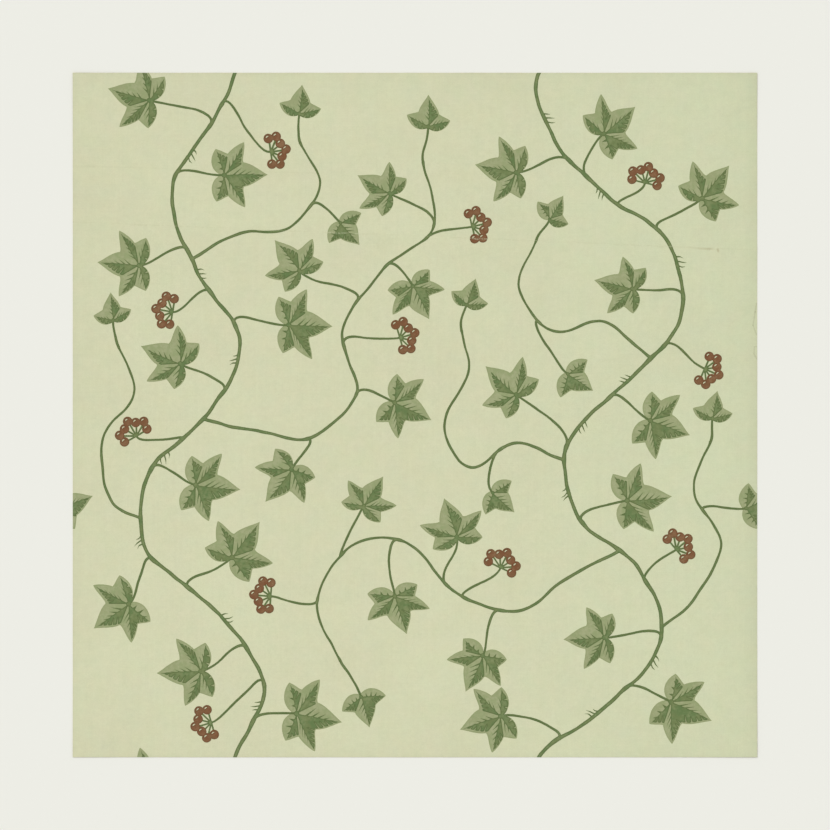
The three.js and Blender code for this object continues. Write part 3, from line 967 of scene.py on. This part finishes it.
def film_shell(places, triangles, floors, top, near):
    """The closed mesh of one body of a film: a stepped underside, side walls and a finely divided top."""
    shell = Shell()
    floor_at = {}
    levels = {}
    for triangle, floor in zip(triangles, floors):
        for a, b in edges_of(triangle):
            floor_at[(a, b)] = floor
            levels.setdefault(a, set()).add(floor)

    def lower(i, floor):
        return shell.spot(places[i], floor, floor)

    tops = {}

    def upper(place):
        if place not in tops:
            distance = near(place)
            tops[place] = shell.spot(place, "top", top + film_relief(place, distance), distance)
        return tops[place]

    for triangle, floor in zip(triangles, floors):
        shell.faces.append([lower(i, floor) for i in reversed(triangle)])
        for a, b in edges_of(triangle):
            beyond = floor_at.get((b, a))
            if beyond is None:
                rise = [lower(b, level) for level in sorted(levels[b]) if level > floor]
                fall = [lower(a, level) for level in sorted(levels[a], reverse=True) if level > floor]
                wall = [lower(a, floor), lower(b, floor), *rise, upper(places[b]), upper(places[a]), *fall]
                shell.faces.append(wall)
            elif beyond > floor:
                shell.faces.append([lower(a, floor), lower(b, floor), lower(b, beyond), lower(a, beyond)])
    loops = [[places[i] for i in loop] for loop in rims(triangles)]
    extra = thinned(ring_points(loops, near), POINT_GAP)
    extra = thinned(extra + inner_points(loops, near), POINT_GAP)
    top_places, top_triangles, inside = planned({"top": loops}, extra, merge=1e-5)
    for triangle, layer in zip(top_triangles, inside):
        if layer:
            shell.faces.append([upper(top_places[i]) for i in triangle])
    return shell


# Materials.


def colour(red, green, blue):
    """A colour given as the 0 to 255 values of a picture, as Blender's linear values."""
    values = [v / 255 for v in (red, green, blue)]
    linear = [v / 12.92 if v <= 0.04045 else ((v + 0.055) / 1.055) ** 2.4 for v in values]
    return (*linear, 1)


class Finish:
    """A material as it is made, with short calls for the nodes that these materials use."""

    def __init__(self, name, specular):
        self.material = bpy.data.materials.new(name)
        self.material.use_nodes = True
        self.tree = self.material.node_tree
        self.tree.nodes.clear()
        self.shader = self.node("ShaderNodeBsdfPrincipled", {"Specular IOR Level": specular})
        self.node("ShaderNodeOutputMaterial", {"Surface": self.shader.outputs[0]})
        self.place = self.node("ShaderNodeTexCoord").outputs["Object"]
        self.x, self.y, _ = self.node("ShaderNodeSeparateXYZ", {0: self.place}).outputs

    def node(self, kind, inputs=None, **settings):
        node = self.tree.nodes.new(kind)
        for name, value in settings.items():
            setattr(node, name, value)
        self.feed(node, inputs or {})
        return node

    def feed(self, node, inputs):
        """Gives some inputs of a node a value or another node's output. A colour is as in a picture."""
        for key, value in inputs.items():
            socket = node.inputs[key]
            if isinstance(value, bpy.types.NodeSocket):
                self.tree.links.new(value, socket)
            else:
                socket.default_value = colour(*value) if socket.type == "RGBA" else value

    def maths(self, operation, *values):
        return self.node("ShaderNodeMath", dict(enumerate(values)), operation=operation).outputs[0]

    def times(self, first, second):
        return self.maths("MULTIPLY", first, second)

    def size(self, value):
        return self.maths("ABSOLUTE", value)

    def ramp(self, value, low, high, start=0.0, end=1.0, kind="SMOOTHSTEP"):
        """A value taken from the span low to high over to the span start to end."""
        inputs = dict(enumerate((value, low, high, start, end)))
        return self.node("ShaderNodeMapRange", inputs, interpolation_type=kind).outputs[0]

    def grain(self, span, detail=2.0, roughness=0.5, stretch=(1, 1), turn=0.0, shift=0.0, warp=0.0):
        """Noise from 0 to 1 whose features are about span millimetres across, drawn out by stretch."""
        scale = 1 / (span * MM)
        mapping = self.node("ShaderNodeMapping", {
            "Vector": self.place,
            "Location": (shift, shift * 0.7, shift * 1.3),
            "Rotation": (0, 0, math.radians(turn)),
            "Scale": (scale / stretch[0], scale / stretch[1], scale),
        })
        looks = {"Scale": 1.0, "Detail": detail, "Roughness": roughness, "Distortion": warp}
        return self.node("ShaderNodeTexNoise", {"Vector": mapping.outputs[0], **looks}).outputs[0]

    def total(self, base, *shares):
        """A base number plus each value, less a half, times its weight."""
        for value, weight in shares:
            base = self.maths("MULTIPLY_ADD", self.maths("SUBTRACT", value, 0.5), weight, base)
        return base

    def mix(self, share, first, second):
        return self.node("ShaderNodeMix", {0: share, 6: first, 7: second}, data_type="RGBA").outputs[2]

    def coats(self, base, layers):
        """A colour with others laid over it, each with where it shows, how strongly, and itself."""
        for share, strength, paint in layers:
            base = self.mix(self.times(share, strength), base, paint)
        return base

    def toned(self, paint, tone):
        """A colour made lighter or darker by a factor."""
        return self.node("ShaderNodeVectorMath", {0: paint, "Scale": tone}, operation="SCALE").outputs[0]

    def off_line(self, start, end):
        """Distance in millimetres from a line on the sheet, below 0 on its right."""
        across = unit(end - start) * 1j
        first = self.maths("MULTIPLY_ADD", self.x, across.real / MM, -dot(start, across))
        return self.maths("MULTIPLY_ADD", self.y, across.imag / MM, first)

    def length(self, across, up):
        return self.maths("SQRT", self.maths("MULTIPLY_ADD", across, across, self.times(up, up)))

    def blot(self, middle, half_width, half_height, turn, wander):
        """1 in the middle of an oval blot with an uneven edge, and 0 outside it."""
        way = heading(turn)
        along = self.maths("DIVIDE", self.off_line(middle, middle - way * 1j), half_width)
        across = self.maths("DIVIDE", self.off_line(middle, middle + way), half_height)
        reach = self.total(self.length(along, across), (wander, 1.1))
        return self.ramp(reach, 0.15, 1.0, 1.0, 0.0)

    def stroke(self, start, end, half_width, wander):
        """1 on a short line of uneven width and 0 beside it."""
        middle = (start + end) / 2
        across = self.off_line(start, end)
        along = self.size(self.off_line(middle, middle + (end - start) * 1j))
        past = self.maths("MAXIMUM", self.maths("SUBTRACT", along, abs(end - start) / 2), 0.0)
        away = self.total(self.length(past, across), (wander, half_width * 2))
        return self.ramp(away, half_width, half_width * 0.2)

    def edge_gap(self):
        """Distance in millimetres from the nearest cut edge of the sheet."""
        gaps = [self.maths("MULTIPLY_ADD", self.size(value), -1 / MM, HALF) for value in (self.x, self.y)]
        return self.maths("MINIMUM", *gaps)

    def fibres(self, span, width, shift, share=0.5):
        """Thin curved hairs: level lines of one noise, broken up by another."""
        field = self.grain(span, 1.0, 0.4, shift=shift, warp=0.4)
        line = self.size(self.maths("SUBTRACT", field, 0.5))
        breaks = self.ramp(self.grain(span * 0.8, 1.0, shift=shift + 3), share, share + 0.08)
        return self.times(self.ramp(line, width, 0.0), breaks)

    def done(self, base, tone, relief, depth, dullness):
        """Sets the colour, its tone, a relief that is depth millimetres deep, and the roughness."""
        bump = self.node("ShaderNodeBump", {"Distance": depth * MM, "Height": relief})
        looks = {"Base Color": self.toned(base, tone), "Normal": bump.outputs[0], "Roughness": dullness}
        self.feed(self.shader, looks)
        return self.material


# Colours and marks of the sheet. A colour is written as its 0 to 255 values in a picture.
CREAM = (217, 207, 174)
STAIN = (150, 132, 88)
SOIL = (150, 150, 120)
EDGE_SOIL = [(50, 0.02), (7, 0.03), (1.8, 0.06)]  # how far in from the edges, and how strong
RIGHT_SOIL = (251, 265)  # where the soiling of the right edge starts and is full
SCUFF = (complex(-265, 193), complex(-66, 187))  # a long rub, and where it dies away, in metres
SCUFF_FADE = (-0.05, -0.09)
# Painted shade of small dents inside the right edge, as two bent lines of darker colour; the dents have no
# relief.
DENT_SHADE_LINES = [
    [complex(264.5, 86.4), complex(263.5, 80), complex(261.8, 69.5), complex(264.5, 62.4)],
    [complex(264.8, 53.2), complex(262.8, 52.7), complex(262.5, 47.4), complex(264.6, 43.6)],
]
# Old marks: middle, half width, half height, turn, whether it is smeared, strength, colour.
SMUDGES = [
    (complex(214, 129.5), 30, 0.9, -2.3, True, 0.08, STAIN),
    (complex(223, 128.8), 11, 1.2, -2.3, True, 0.18, STAIN),
    (complex(227.5, 128.6), 4, 1.3, -2.3, True, 0.2, STAIN),
    (complex(234.6, 127.4), 1.3, 2.4, 12, True, 0.34, STAIN),
    (complex(-25, 133), 13, 11, 8, False, 0.05, SOIL),
    (complex(188, 93), 13, 9, 8, False, 0.07, SOIL),
]
# Block colours: body, rim, pale heart, thick patches, share of the rim and of the pinholes, noise place.
INKS = {
    "light_green": ((153, 160, 117), (143, 150, 107), (163, 168, 128), (148, 159, 113), 0.35, 0.35, 20),
    "mid_green": ((113, 126.5, 80), (91, 106.5, 61.5), (128, 139.5, 95), (101, 122.5, 75), 0.75, 0.5, 40),
    "red_brown": ((123, 89, 60), (104, 75, 47), (137, 105, 75), (122, 81, 53), 0.6, 0.4, 60),
}


def fold_mask(finish):
    """1 along the pressed fold and 0 away from it: where the colour is rubbed, and where the ground is
    darker with soil and painted shade of the crease.
    """
    wander = finish.grain(14, 3.0, 0.6, shift=4.0)
    away = finish.size(finish.total(finish.off_line(*FOLD), (wander, 2.4)))
    width = finish.ramp(wander, 0.35, 0.7, 0.12, 0.85)
    fold_rub_and_shade = finish.ramp(finish.maths("DIVIDE", away, width), 0.3, 1.2, 1.0, 0.0)
    return finish.times(fold_rub_and_shade, finish.ramp(finish.grain(1.6, 2.0, 0.6, shift=15.0), 0.35, 0.6))


def paper_finish():
    """Old wove paper: buff, fibrous, a little foxed and browner at its edges."""
    finish = Finish("old_wove_paper", 0.25)
    grain, ramp, total = finish.grain, finish.ramp, finish.total
    cloud = grain(38, 3.0, 0.55)
    felt = grain(0.9, 3.0, 0.65, shift=1.0)
    mould = grain(2.6, stretch=(1.0, 1.6), shift=2.0)
    hairs = finish.fibres(3.2, 0.012, 5.0)
    brown = ramp(total(finish.edge_gap(), (cloud, 6.0)), 9.0, 0.0)
    base = finish.mix(ramp(cloud, 0.35, 0.7), (219, 209, 177), (209, 196, 160))
    base = finish.coats(base, [
        (hairs, 0.4, (232, 225, 200)),
        (finish.fibres(2.4, 0.008, 9.0, 0.62), 0.45, (170, 152, 116)),
        (ramp(grain(1.7, 1.0, shift=12.0), 0.76, 0.82), 0.4, (168, 140, 100)),
        (ramp(grain(30, 4.0, 0.7, shift=7.0), 0.66, 0.8), 0.3, (186, 158, 112)),
        (brown, 0.4, (178, 158, 118)),
    ])
    tone = total(1.0, (cloud, 0.09), (felt, 0.08), (mould, 0.05))
    relief = total(0.5, (felt, 0.8), (mould, 0.5), (hairs, 0.3))
    return finish.done(base, tone, relief, 0.05, 0.92)


def ground_finish():
    """Brushed distemper: matt, faintly streaked, with a rubbed fold darkened by soil and painted shade,
    soiled edges, dents in painted shade, old marks and a scuff.
    """
    finish = Finish("brushed_ground", 0.22)
    grain, ramp, total = finish.grain, finish.ramp, finish.total
    cloud = grain(70, 3.0, 0.55, shift=1.5)
    mottle = grain(9, 3.0, 0.6, shift=2.5)
    speckle = grain(3.2, 2.0, 0.6, shift=9.5)
    hue = grain(13, 2.0, 0.6, shift=7.5)
    age = grain(20, 3.0, 0.6, shift=21.5)
    streak = grain(0.9, 2.0, 0.6, stretch=(1, 60), turn=1.2, shift=3.5)
    broad = grain(5.0, stretch=(1, 26), turn=-0.8, shift=4.5)
    cross = grain(0.7, 2.0, 0.6, stretch=(45, 1), turn=0.6, shift=5.5)
    tooth = grain(0.42, 2.0, 0.6, shift=6.5)
    fleck = grain(0.95, 1.0, shift=10.5)
    smear = grain(2.2, 3.0, 0.6, stretch=(2.5, 1), shift=11.0)
    chip = grain(1.4, 2.0, 0.6, shift=17.0)
    hairs = finish.fibres(2.8, 0.010, 8.0, 0.6)
    fold_rub_and_shade = fold_mask(finish)
    drift = total(ramp(finish.x, -0.03, 0.31, 0.3, 0.66), (cloud, 0.5), (hue, 0.85))
    base = finish.mix(drift, (214.0, 211.8, 182.1), (202.3, 211.0, 179.4))
    base = finish.mix(total(0.1, (age, 0.14)), base, (208.5, 211.5, 120))
    layers = [
        (hairs, 0.22, (196, 194, 156)),
        (ramp(grain(0.8, 1.0, shift=14.0), 0.74, 0.8), 0.35, CREAM),
        # Darker along the fold: soil in the crease, and painted shade of it.
        (fold_rub_and_shade, 0.25, (188, 188, 150)),
    ]
    for middle, width, height, turn, smeared, strength, dirt in SMUDGES:
        smudge = finish.blot(middle, width, height, turn, smear if smeared else mottle)
        layers.append((smudge, strength, dirt))
    rub = ramp(total(finish.size(finish.off_line(*SCUFF)), (mottle, 1.2)), 1.1, 0.1)
    layers.append((finish.times(rub, ramp(finish.x, *SCUFF_FADE)), 0.2, (199, 200, 164)))
    gap = finish.edge_gap()
    uneven_gap = total(gap, (mottle, 2.0))
    layers += [(ramp(uneven_gap, reach, reach * 0.1), strength, SOIL) for reach, strength in EDGE_SOIL]
    right = ramp(total(finish.times(finish.x, 1 / MM), (mottle, 8.0)), *RIGHT_SOIL)
    layers.append((right, 0.07, SOIL))
    # Dark lines of painted shade where the paper is dented.
    for line in DENT_SHADE_LINES:
        for start, end in zip(line, line[1:]):
            layers.append((finish.stroke(start, end, 0.8, smear), 0.24, (140, 138, 104)))
    layers.append((ramp(total(gap, (chip, 2.2)), 0.1, -0.25), 1.0, CREAM))
    rise = ramp(finish.y, -HALF * MM, HALF * MM, kind="LINEAR")
    tone = total(
        1.0, (cloud, 0.1), (mottle, 0.06), (speckle, 0.1), (streak, 0.05), (broad, 0.03), (cross, 0.05),
        (tooth, 0.16), (fleck, 0.08), (rise, -0.012),
    )
    relief = total(0.5, (streak, 0.7), (cross, 0.3), (tooth, 0.6), (hairs, 0.3), (fold_rub_and_shade, 0.4))
    dullness = total(0.88, (mottle, 0.08), (streak, 0.06))
    return finish.done(finish.coats(base, layers), tone, relief, 0.05, dullness)


def ink_finish(shade, body, deep, pale, thick, rim_share, hole_share, shift):
    """Block-printed distemper: uneven with the press of the block, darker at its rim, with pinholes."""
    finish = Finish(f"{shade}_ink", 0.18)
    grain, ramp, total = finish.grain, finish.ramp, finish.total
    press = grain(17, 3.0, 0.6, shift=shift)
    blot = grain(2.6, 3.0, 0.6, shift=shift + 1)
    felt = grain(0.55, 2.0, 0.6, shift=shift + 2)
    drag = grain(0.8, 2.0, 0.6, stretch=(1, 9), turn=4, shift=shift + 3)
    hole = grain(0.62, 1.0, shift=shift + 5)
    patch = grain(8, 2.0, 0.55, shift=shift + 6)
    distance = finish.node("ShaderNodeAttribute", attribute_name="edge_distance").outputs["Fac"]
    edge = total(distance, (blot, 0.5))
    heart = finish.times(ramp(edge, 0.5, 1.3), ramp(total(blot, (press, 0.8)), 0.38, 0.72))
    thin = finish.times(ramp(press, 0.55, 0.8), ramp(felt, 0.45, 0.7))
    base = finish.coats(finish.mix(ramp(patch, 0.38, 0.62), body, thick), [
        (heart, 0.85, pale),
        (ramp(edge, 1.0, 0.3), rim_share, deep),
        (thin, 0.3, pale),
        (finish.times(ramp(hole, 0.715, 0.76), ramp(press, 0.4, 0.65)), hole_share, (209, 211, 176)),
        (fold_mask(finish), 0.4, (203, 205, 170)),
    ])
    tone = total(1.0, (press, 0.07), (blot, 0.06), (felt, 0.12), (drag, 0.08))
    relief = total(0.5, (felt, 0.8), (drag, 0.5), (blot, 0.5))
    return finish.done(base, tone, relief, 0.045, total(0.84, (blot, 0.1), (felt, 0.06)))


def floor_finish():
    """A pale even floor."""
    finish = Finish("pale_floor", 0.2)
    base = finish.toned(colour(237, 237, 229)[:3], finish.total(1.0, (finish.grain(400), 0.004)))
    finish.feed(finish.shader, {"Base Color": base, "Roughness": 0.9})
    return finish.material


# The sheet.
INK = {shade: ink_finish(shade, *looks) for shade, looks in INKS.items()}
slab("paper_sheet", 0, PAPER_TOP, paper_finish(), "paper", "paper")
slab("ground_colour", PAPER_TOP, GROUND_TOP, ground_finish(), "ground_coat", "ground_coat")

leaf_loops = []
for number, (_, _, x, y, turn, length) in enumerate(LEAVES, 1):
    outline = placed(leaf_outline(leaf_kind(length), number), complex(x, y), turn, length)
    loops = printed_loops([outline], "light")
    leaf_loops += loops
    print_film(f"leaf_{number:02d}", "light_green", loops, LIGHT_TOP)

berry_loops = []
for number, (_, _, x, y, turn) in enumerate(BUNCHES, 1):
    middles = berries(complex(x, y), turn)
    loops = printed_loops([circle(berry, BERRY_RADIUS) for berry in middles], "red", map(glint, middles))
    berry_loops += [loop for loop in loops if area(loop) > 0]
    print_film(f"berries_{number:02d}", "red_brown", loops, RED_TOP)

for trail in ("west", "east"):
    loops = printed_loops(trail_outlines(trail), "mid")
    print_film(f"trail_{trail}", "mid_green", loops, MID_TOP, leaf_loops, berry_loops)

# Floor, light and camera.
FLOOR_SIZE = 30  # in metres, as its gap under the sheet is
FLOOR_GAP = 0.00003
FLOOR_CELLS = 8
SKY = 0.68  # share of the light that comes evenly from above
SUN_HEIGHT = 52
SUN_FROM = 128  # degrees, from the upper left
SUN_SPREAD = 28
PICTURE = 830  # pixels across the photograph
SHEET_PIXELS = 684.4  # the width and height of the sheet in it, round its middle
LENS = 100
SENSOR = 36

bpy.ops.mesh.primitive_grid_add(
    x_subdivisions=FLOOR_CELLS, y_subdivisions=FLOOR_CELLS, size=FLOOR_SIZE, location=(0, 0, -FLOOR_GAP)
)
floor = bpy.context.object
floor.name = "floor"
floor.data.materials.append(floor_finish())

world = bpy.data.worlds.new("soft_room")
world.use_nodes = True
background = world.node_tree.nodes["Background"]
background.inputs["Color"].default_value = (1, 1, 1, 1)
background.inputs["Strength"].default_value = SKY
bpy.context.scene.world = world

sun = heading(SUN_HEIGHT)
flat = heading(SUN_FROM) * sun.real
lamp = bpy.data.lights.new("soft_key", "SUN")
lamp.energy = (1 - SKY) * math.pi / sun.imag
lamp.angle = math.radians(SUN_SPREAD)
key = bpy.data.objects.new("soft_key", lamp)
key.rotation_euler = Vector((flat.real, flat.imag, sun.imag)).to_track_quat("Z", "Y").to_euler()
bpy.context.scene.collection.objects.link(key)

camera_data = bpy.data.cameras.new("camera")
camera_data.lens = LENS
camera_data.sensor_width = SENSOR
view_width = SHEET * PICTURE / SHEET_PIXELS
camera = bpy.data.objects.new("camera", camera_data)
camera.location.z = (view_width * LENS / SENSOR + MID_TOP) * MM
bpy.context.scene.collection.objects.link(camera)
bpy.context.scene.camera = camera
bpy.context.scene.view_settings.view_transform = "Standard"
